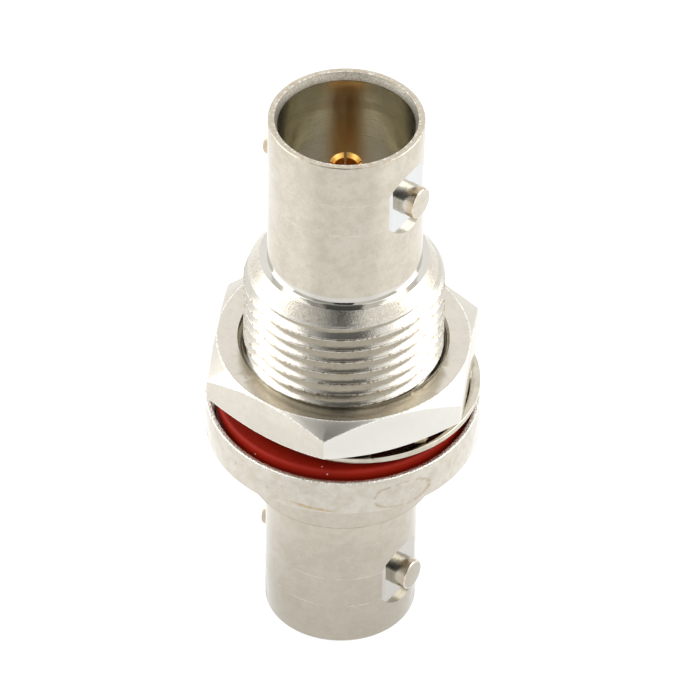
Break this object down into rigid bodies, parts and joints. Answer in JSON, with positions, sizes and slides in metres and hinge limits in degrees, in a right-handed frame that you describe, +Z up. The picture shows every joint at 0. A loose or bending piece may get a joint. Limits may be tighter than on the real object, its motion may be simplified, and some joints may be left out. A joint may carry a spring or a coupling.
{
  "type": "coaxial bulkhead adapter",
  "caption": "Double-ended coaxial panel jack: two bayonet-lug sockets on one axis, threaded middle, flange with red gasket, lock washer and hex nut.",
  "frame": {"origin": "centre of the lower rim, on the connector's axis", "axes": "+Z up along the connector's axis, towards the nut's end of the thread; -Y is the front; the lugs point 57 degrees from -Y towards +X, and opposite"},
  "size_m": [0.0172, 0.0182, 0.0394],
  "materials": {
    "nickel_plate": "satin nickel plating on turned brass",
    "washer_steel": "plated spring steel sheet",
    "gold_plate": "gold plating on beryllium copper",
    "red_rubber": "smooth moulded silicone rubber",
    "white_plastic": "turned white fluoropolymer"
  },
  "bodies": {
    "shell": {"main_shell": "nickel_plate", "rear_shell": "nickel_plate", "gasket": "red_rubber", "center_contact": "gold_plate", "front_insulator": "white_plastic", "rear_insulator": "white_plastic"},
    "washer": {"lock_washer": "washer_steel"},
    "nut": {"hex_nut": "nickel_plate"}
  },
  "joints": [
    {"name": "nut_turn", "type": "hinge", "parent": "shell", "child": "washer", "pos_m": [0, 0, 0.0182], "axis": [0, 0, 1], "range_deg": [-19, 2040]},
    {"name": "nut_travel", "type": "slide", "parent": "washer", "child": "nut", "axis": [0, 0, 1], "range_m": [-0.00005, 0.00515]}
  ],
  "couplings": [
    {"joint": "nut_travel", "follows": "nut_turn", "m_per_rad": 0.00014438}
  ]
}
